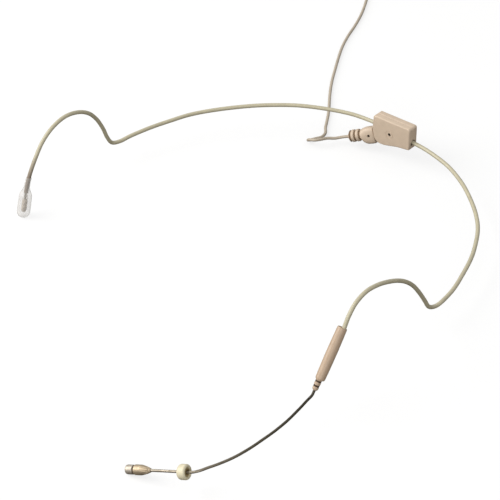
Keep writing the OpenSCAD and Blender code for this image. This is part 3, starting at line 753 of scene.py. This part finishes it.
def outline_ring(corners, radii, inset, y, steps=8):
    """The rounded outline, moved in by inset, as a ring of points at one Y."""
    n = len(corners)
    p = [Vector(c) for c in corners]
    middle = sum(p, Vector((0, 0))) / n
    moved = []
    for i in range(n):
        before, at, after = p[i - 1], p[i], p[(i + 1) % n]
        lines = []
        for a, b in ((before, at), (at, after)):
            way = (b - a).normalized()
            inward = Vector((-way.y, way.x))
            inward = inward if inward.dot(middle - a) > 0 else -inward
            lines.append((a + inward * inset, way))
        (a, u), (b, v) = lines
        t = (b - a).cross(v) / u.cross(v)
        moved.append(a + u * t)
    ring = []
    for i in range(n):
        at = moved[i]
        u, v = (moved[i - 1] - at).normalized(), (moved[(i + 1) % n] - at).normalized()
        half = u.angle(v) / 2
        r = max(radii[i] - inset, 0.15)
        centre = at + (u + v).normalized() * r / math.sin(half)
        a, b = at + u * r / math.tan(half) - centre, at + v * r / math.tan(half) - centre
        sweep = a.angle_signed(b)
        for k in range(steps + 1):
            turn = Matrix.Rotation(-sweep * k / steps, 2)
            point = centre + turn @ a
            ring.append(Vector((point.x, y, point.y)))
    return ring


def across_frame(at):
    """A frame at [x, z] whose Z runs along +Y."""
    return place((at[0], 0, at[1]), (-90, 0, 0))


def along_band(height):
    """A frame at a height on the seam whose Z runs along +X, as the band does there."""
    return place((0, SEAM_Y, height)) @ place((0, 0, 0), (0, 90, 0))


def make_shell(name, node, face_y, soft):
    """One half of the housing: a block with a softened outer edge, a pocket, and its bores."""
    way = 1 if face_y > SEAM_Y else -1
    rings = [outline_ring(SHELL_OUTLINE, SHELL_CORNERS, SEAM_BEVEL, SEAM_Y)]
    rings.append(outline_ring(SHELL_OUTLINE, SHELL_CORNERS, 0.0, SEAM_Y + way * SEAM_BEVEL))
    for k in range(7):
        a = math.radians(15 * k)
        inset, drop = soft * (1 - math.cos(a)), soft * (1 - math.sin(a))
        rings.append(outline_ring(SHELL_OUTLINE, SHELL_CORNERS, inset, face_y - way * drop))
    shell = lofted(name, rings)
    wall = face_y - way * WALL
    pocket = lofted("cutter", [
        outline_ring(POCKET_OUTLINE, POCKET_CORNERS, 0, y) for y in (SEAM_Y - way * 0.5, wall)])
    cut(shell, [pocket])
    boss = cylinder_cutter(across_frame(RIVET), 1.1, *sorted((wall + way * 0.3, SEAM_Y)))
    cut(shell, [boss], "UNION")
    holes = [
        cylinder_cutter(across_frame(RIVET), 0.61, 80, 110),
        cylinder_cutter(along_band(RIGHT_BAND_Z), BAND_BORE_R, -8, -1),
        cylinder_cutter(along_band(LEFT_BAND_Z), BAND_BORE_R, 5, 12),
        cylinder_cutter(along_band(LEFT_BAND_Z), 1.2, 10, 12),
        cylinder_cutter(across_frame(SWIVEL), 0.71, *sorted((SEAM_Y, face_y - way * 0.5))),
        slot_cutter(),
    ]
    cut(shell, holes)
    if way < 0:
        ring_groove(shell, face_y)
    dress(shell, "shell", "headband", (node,))
    return shell


def slot_cutter():
    """The slot in which the tongue of the boot swings."""
    start = math.asin((SLOT_TOP - SWIVEL[1]) / SLOT_R)
    outline = []
    for k in range(49):
        a = math.pi - start + (math.pi + 2 * start) * k / 48
        outline.append((SWIVEL[0] + SLOT_R * math.cos(a), SWIVEL[1] + SLOT_R * math.sin(a)))
    return lofted("cutter", [
        [Vector((x, y, z)) for x, z in outline]
        for y in (SEAM_Y - SLOT_HALF_WIDTH, SEAM_Y + SLOT_HALF_WIDTH)])


def ring_groove(shell, face_y):
    """The faint ring moulded around the rivet on the inside face."""
    at = across_frame(RIVET)
    groove = turned("cutter", [
        (1.42, face_y - 0.3), (1.62, face_y - 0.3), (1.62, face_y + 0.1), (1.42, face_y + 0.1)], at, 0.01)
    cut(shell, [groove])


def make_housing():
    """The two shells with their rivet, and a black ring of painted shade in the hole where the left arm
    comes out.
    """
    make_shell("housing_inner", "inner_shell", INNER_FACE_Y, 0.42)
    make_shell("housing_outer", "outer_shell", OUTER_FACE_Y, 0.5)
    rivet = turned(
        "housing_rivet", [
            (0, 92), (0.36, 92), (0.4, 90.95), (0.46, 90.87), (0.55, 90.87), (0.6, 90.95), (0.6, 95.3),
            (0.45, 95.38), (0, 95.38)],
        across_frame(RIVET), 0.05, 48)
    dress(rivet, "dark", "headband", ("shell_rivet",))
    for node in ("right_wire_crimp", "left_wire_crimp", "hook_socket", "boot_crimp"):
        repaint(node, "crimp")
    # Painted shade: a near-black ring sits in the counterbore round the left arm, so that the hole looks
    # dark.
    hole_shade = turned(
        "exit_hole_shade", [(0.76, 10.02), (1.19, 10.02), (1.19, 10.3), (1.0, 10.42), (0.76, 10.42)],
        along_band(LEFT_BAND_Z), 0.05, 48)
    dress(hole_shade, "dark", "headband")
    repaint("housing_lead", "lead")
    repaint("swivel_pin", "pin")


# ---------------------------------------------------------------- cable boot
GROOVES = (4.74, 6.57, 8.4)
RIBS_END = 9.16
TONGUE_HALF_WIDTH = 0.85
TONGUE_R = 1.6
TONGUE_LENGTH = 5.6
TONGUE_HALF_HEIGHT = 1.2
BOOT_PIN_AT = 1.3


def superellipse(rx, ry, power, count=64):
    """An oval that grows squarer with its power."""
    out = []
    for k in range(count):
        a = 2 * math.pi * k / count
        c, s = math.cos(a), math.sin(a)
        x, y = abs(c) ** (2 / power), abs(s) ** (2 / power)
        out.append((rx * math.copysign(x, c), ry * math.copysign(y, s)))
    return out


def boot_section(s, top, bottom, ry, power):
    """A slice of the boot's ribbed part, reaching further down than up."""
    shift, rx = (top - bottom) / 2, (top + bottom) / 2
    return [RIBS @ Vector((x + shift, y, s)) for x, y in superellipse(rx, ry, power)]


def make_boot():
    """Tongue, flared root and ribbed strain relief of the cable boot, with a ring of painted shade in each
    groove.
    """
    stations = [
        (-0.75, 2.35, 3.2, 1.85, 3.2), (-0.6, 2.62, 3.55, 2.05, 3.2), (-0.3, 2.73, 3.68, 2.14, 3.2),
        (1, 2.75, 3.7, 2.15, 3.1), (2.4, 2.72, 3.65, 2.15, 2.9), (3.2, 2.55, 3.4, 2.15, 2.6),
        (3.9, 2.36, 3, 2.15, 2.3), (4.3, 2.22, 2.5, 2.14, 2.1), (4.5, 2.1, 2.15, 2.1, 2), (4.72, 2, 2, 2, 2)]
    for groove in GROOVES:
        for s, r in ((0.02, 1.72), (0.7, 1.7), (0.75, 2.16), (0.88, 2.29), (1.7, 2.3), (1.8, 2.2)):
            if groove + s < RIBS_END:
                stations.append((groove + s, r, r, r, 2))
    for s, r in ((9.18, 1.98), (9.24, 2.06), (9.3, 1.96), (9.32, 0.98), (10, 0.95), (10.1, 0.86)):
        stations.append((s, r, r, r, 2))
    body = lofted("boot_moulding", [boot_section(*station) for station in stations])
    tongue = lofted("cutter", [
        [BOOT @ Vector((x, y, z)) for x, z in tongue_outline()]
        for y in (-TONGUE_HALF_WIDTH, TONGUE_HALF_WIDTH)])
    cut(body, [tongue], "UNION")
    cross_pin = RIBS @ place((0, 0, BOOT_PIN_AT), (90, 0, 0))
    cut(body, [
        cylinder_cutter(BOOT @ place((0, 0, 0), (90, 0, 0)), 0.75, -5, 5),
        cylinder_cutter(RIBS, CABLE_D / 2 + 0.01, 0.2, 14),
        cylinder_cutter(cross_pin, 0.5, 0.5, 5)])
    dress(body, "shell", "boot", ("cable_boot",))
    # Painted shade: a dark brown ring lines the bottom of each groove, darkening it as shade would.
    for number, groove in enumerate(GROOVES):
        low, high = groove + 0.04, groove + 0.66
        shade_lining = turned(
            f"boot_groove_shade_{number}", [(1.6, low), (1.79, low), (1.79, high), (1.6, high)], RIBS, 0.03, 48)
        dress(shade_lining, "groove", "boot")
    pin = turned(
        "boot_pin", [(0, 0.5), (0.47, 0.5), (0.47, 2.0), (0.38, 2.08), (0, 2.04)],
        cross_pin, 0.05, 32)
    dress(pin, "dark", "boot", ("boot_cross_pin",))
    repaint("cable_tail", "cable")


def tongue_outline():
    """The swinging tongue: round about the pin, then straight back to the root."""
    out = [(TONGUE_LENGTH, -TONGUE_HALF_HEIGHT), (TONGUE_LENGTH, TONGUE_HALF_HEIGHT)]
    start = 48.6
    for k in range(25):
        a = math.radians(start + (360 - 2 * start) * k / 24)
        out.append((TONGUE_R * math.cos(a), TONGUE_R * math.sin(a)))
    return out


# ---------------------------------------------------------------- boom and barrel
RING_FROM = 1.5
RING_R = 2.45
RING_LENGTH = 3.0
RING_NEAR_EDGE = 0.6
RING_FAR_EDGE = 0.9
GLAND_END = -3.7


def make_barrel():
    """The barrel with its bores, and the grooved gland that turns in it on two O-rings."""
    barrel = turned(
        "boom_barrel_shell", [
            (0, 0), (1.3, 0), (1.5, 0.12), (1.6, 0.6), (1.68, 3), (1.73, 7), (1.75, 10), (1.7, 14),
            (1.66, 16.5), (1.62, 17.8), (1.5, 18.08), (1.36, 18.1), (1.2, 18.02), (0, 18.02)],
        BARREL, 0.12)
    cut(barrel, [
        cylinder_cutter(BARREL @ place((0.6, 0, 0)), BAND_BORE_R, 9, 20),
        cylinder_cutter(GLAND, 1.1, -1, 3),
        cylinder_cutter(GLAND, BOOM_R + 0.1, 2, 8.6)])
    dress(barrel, "barrel", "headband", ("boom_barrel",))
    gland = turned(
        "gland_body", [
            (0.5, -3.7), (0.62, -3.7), (0.9, -3.42), (1.0, -3.05), (1.0, -2.5), (0.72, -2.5), (0.72, -1.9),
            (1.02, -1.9), (1.06, -0.9), (0.76, -0.9), (0.76, -0.35), (1.08, -0.35), (1.08, -0.08),
            (1.04, -0.08), (1.04, 1.95), (0.86, 1.95), (0.86, 2.3), (1.04, 2.3), (1.04, 2.9), (0.5, 2.9)],
        GLAND, 0.08)
    dress(gland, "barrel", "gland", ("boom_gland",))
    rings = [o_ring("gland_ring_low", 0.86, -2.2), o_ring("gland_ring_high", 0.9, -0.62)]
    for ring in rings:
        dress(ring, "rubber", "gland")
    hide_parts("gland_rings")
    repaint("gland_clip", "pin")
    repaint("left_arm_wire", "wire")
    repaint("left_arm_lead", "lead")


def o_ring(name, middle, height, thick=0.12, steps=16):
    """A rubber ring in a groove of the gland."""
    profile = []
    for k in range(steps):
        a = 2 * math.pi * k / steps
        profile.append((middle + thick * math.cos(a), height + 2 * thick * math.sin(a)))
    return turned(name, profile, GLAND, 0.001)


def make_boom():
    """The boom in one run: inner end, bends and straight nose."""
    way = (GLAND.to_3x3() @ Z_AXIS).normalized()
    bend = [GLAND @ Vector((0, 0, -3.85)), GLAND @ Vector((0, 0, -4.45))]
    nose_start, nose_end = NOSE @ Vector((0, 0, 0)), NOSE @ Vector((0, 0, CAPSULE_FROM + 2.6))
    curve = smooth_path(bend + [Vector(p) for p in BOOM] + [nose_start, NOSE @ Vector((0, 0, 2))], 12)
    inner = [GLAND @ Vector((0, 0, 7.8)) - way * k for k in range(11)]
    straight = [nose_start.lerp(nose_end, k / 12) for k in range(2, 13)]
    path = [p for p in inner if (GLAND.inverted() @ p).z > GLAND_END] + curve + straight
    stem = tube("boom_tube", path, BOOM_R, 20, wobble=0.02, seed=7)
    dress(stem, "boom", "boom", ("boom_stem", "boom_shank", "boom_nose"))
    repaint("boom_lead", "lead")


def make_moisture_ring():
    """The ring with its two rounded edges, the bush in it, and its recessed face."""
    at = NOSE @ place((0, 0, RING_FROM))
    profile = [(1.1, 0.45), (1.52, 0.45), (1.62, 0.34), (1.68, 0.0)]
    for k in range(7):
        a = math.radians(-90 + 15 * k)
        profile.append((RING_R + RING_NEAR_EDGE * (math.cos(a) - 1), RING_NEAR_EDGE * (1 + math.sin(a))))
    for k in range(7):
        a = math.radians(15 * k)
        profile.append((
            RING_R + RING_FAR_EDGE * (math.cos(a) - 1), RING_LENGTH + RING_FAR_EDGE * (math.sin(a) - 1)))
    profile.append((1.1, RING_LENGTH))
    ring = turned("moisture_guard", profile, at, 0.08)
    dress(ring, "ring", "moisture_ring", ("moisture_ring",))
    bush = turned(
        "guard_bush", [
            (0.5, 0.6), (0.62, 0.32), (0.7, 0.4), (0.82, 0.4), (0.86, 0.22), (1.09, 0.22), (1.09, 2.8),
            (0.5, 2.8)],
        at, 0.05)
    dress(bush, "bush", "moisture_ring", ("moisture_ring_bush",))
    face = turned(
        "guard_recess", [
            (1.12, 0.3), (1.24, 0.3), (1.3, 0.38), (1.38, 0.3), (1.5, 0.36), (1.5, 0.44), (1.12, 0.44)],
        at, 0.03)
    dress(face, "recess", "moisture_ring")


# ---------------------------------------------------------------- capsule
FLUTES = 9
FLUTE_DEPTH = 0.17
MESH_PITCH = 0.2
MESH_WIRE_R = 0.045
MESH_WAVE = 0.05
MESH_R = 1.1
MESH_AT = 8.29


def make_capsule():
    """The capsule's fluted body, its dark seal, and the cap with the mesh behind its opening."""
    def fluted(r, z, a):
        depth = FLUTE_DEPTH * max(0.0, math.cos(FLUTES * a)) ** 3
        return r - depth if 0.55 < z < 2.1 and r > 0.7 else r

    body = turned(
        "capsule_shell", [
            (0.46, 0), (0.6, 0), (0.7, 0.14), (0.8, 0.5), (0.78, 0.62), (0.98, 0.8), (1.24, 1.7),
            (1.45, 2.5), (1.62, 3.2), (1.65, 3.5), (1.65, 5.6), (1.52, 5.84), (1.17, 5.84),
            (1.17, 3.6), (0.46, 3.6)],
        CAPSULE, 0.12, 108, fluted)
    dress(body, "capsule", "boom", ("capsule_body",))
    seal = turned(
        "capsule_seal_ring", [
            (1.17, 5.88), (1.34, 5.88), (1.38, 5.98), (1.38, 6.24), (1.34, 6.33), (1.17, 6.33)],
        CAPSULE, 0.06)
    dress(seal, "rubber", "boom", ("capsule_seal",))
    cap = turned(
        "grille_cap_shell", [
            (1.2, 6.37), (1.44, 6.37), (1.52, 6.5), (1.53, 8.5), (1.42, 8.85), (1.2, 9.0), (0.92, 9.0),
            (0.85, 8.9), (0.85, 8.42), (1.2, 8.42)],
        CAPSULE, 0.12)
    dress(cap, "cap", "grille_cap", ("grille_cap",))
    make_mesh()
    for node in ("element_backplate", "element_diaphragm"):
        repaint(node, "gold")
    repaint("element_can", "mesh")
    repaint("element_board", "board")


def make_mesh():
    """Woven wire behind the opening of the cap."""
    pieces = []
    for lane in range(-5, 6):
        for upright in (False, True):
            offset = lane * MESH_PITCH
            half = math.sqrt(max(MESH_R * MESH_R - offset * offset, 0.01))
            path = []
            for k in range(41):
                t = -half + 2 * half * k / 40
                lift = MESH_WAVE * math.cos(math.pi * (t / MESH_PITCH + lane + upright))
                x, y = (offset, t) if upright else (t, offset)
                path.append(CAPSULE @ Vector((x, y, MESH_AT + lift)))
            pieces.append(tube(f"mesh_wire_{len(pieces)}", path, MESH_WIRE_R, 8))
    dress(joined("grille_weave", pieces), "mesh", "grille_cap", ("grille_mesh",))


def joined(name, pieces):
    """Several pieces made one object."""
    work = bmesh.new()
    for piece in pieces:
        work.from_mesh(piece.data)
        bpy.data.objects.remove(piece)
    mesh = bpy.data.meshes.new(name)
    work.to_mesh(mesh)
    work.free()
    piece = bpy.data.objects.new(name, mesh)
    bpy.context.scene.collection.objects.link(piece)
    return piece


# ---------------------------------------------------------------- table and light
TABLE_REACH = 4
TABLE_TONES = ((0.295,) * 3, (0.305,) * 3)
TABLE_GLOW = 0.7
KEY_AT, KEY_SIZE, KEY_POWER, KEY_COLOR = (-0.85, -0.7, 0.7), 1.1, 16, (1, 0.985, 0.965)
FILL_AT, FILL_SIZE, FILL_POWER, FILL_COLOR = (0.7, -1.0, 0.45), 1.0, 5, (1, 1, 1)
ROOM_STRENGTH = 0.6
ROOM_BELOW, ROOM_ABOVE = (0.10, 0.085, 0.065, 1), (1, 1, 1, 1)


def make_table():
    """A pale table that gives off a little light, so that it comes out white."""
    mesh = bpy.data.meshes.new("table")
    size = TABLE_REACH
    corners = [(-size, -size, 0), (size, -size, 0), (size, size, 0), (-size, size, 0)]
    mesh.from_pydata(corners, [], [(0, 1, 2, 3)])
    table = bpy.data.objects.new("table", mesh)
    bpy.context.scene.collection.objects.link(table)
    n = Nodes("table_paint")
    n.link(n.ramp(n.noise(3, 3.0), list(zip((0.3, 0.7), TABLE_TONES))), n.shader.inputs["Base Color"])
    n.set(Roughness=0.9, Specular_IOR_Level=0.0, Emission_Color=(1, 1, 1, 1), Emission_Strength=TABLE_GLOW)
    mesh.materials.append(n.material)
    table.visible_diffuse = False
    table.visible_glossy = False


def area_light(name, at, size, power, color):
    """A square light that points at the headset."""
    data = bpy.data.lights.new(name, "AREA")
    data.energy = power
    data.size = size
    data.color = color
    light = bpy.data.objects.new(name, data)
    turn = (-Vector(at)).to_track_quat("-Z", "Y").to_matrix().to_4x4()
    light.matrix_world = Matrix.Translation(at) @ turn
    bpy.context.scene.collection.objects.link(light)


def make_light():
    """A big soft key from the left, a weak fill from the right, and a room that is dark below."""
    area_light("key", KEY_AT, KEY_SIZE, KEY_POWER, KEY_COLOR)
    area_light("fill", FILL_AT, FILL_SIZE, FILL_POWER, FILL_COLOR)
    world = bpy.data.worlds.new("studio")
    world.use_nodes = True
    tree = world.node_tree
    room = tree.nodes.new("ShaderNodeTexCoord")
    split = tree.nodes.new("ShaderNodeSeparateXYZ")
    ramp = tree.nodes.new("ShaderNodeValToRGB")
    lift = tree.nodes.new("ShaderNodeMath")
    lift.operation = "MULTIPLY_ADD"
    lift.inputs[1].default_value = 0.5
    lift.inputs[2].default_value = 0.5
    tree.links.new(room.outputs["Generated"], split.inputs["Vector"])
    tree.links.new(split.outputs["Z"], lift.inputs[0])
    tree.links.new(lift.outputs["Value"], ramp.inputs["Fac"])
    for element, position, color in zip(ramp.color_ramp.elements, (0.42, 0.56), (ROOM_BELOW, ROOM_ABOVE)):
        element.position = position
        element.color = color
    background = tree.nodes["Background"]
    tree.links.new(ramp.outputs["Color"], background.inputs["Color"])
    background.inputs["Strength"].default_value = ROOM_STRENGTH
    bpy.context.scene.world = world
    bpy.context.scene.view_settings.view_transform = "Standard"


# ---------------------------------------------------------------- the scene
make_camera()
MATERIALS = make_materials()
cable, cable_path = make_cable()
strap = make_tie()
plug_pieces = make_plug()
make_band()
make_tip()
make_housing()
make_boot()
make_barrel()
make_boom()
make_moisture_ring()
make_capsule()
make_table()
make_light()

bpy.context.view_layer.update()
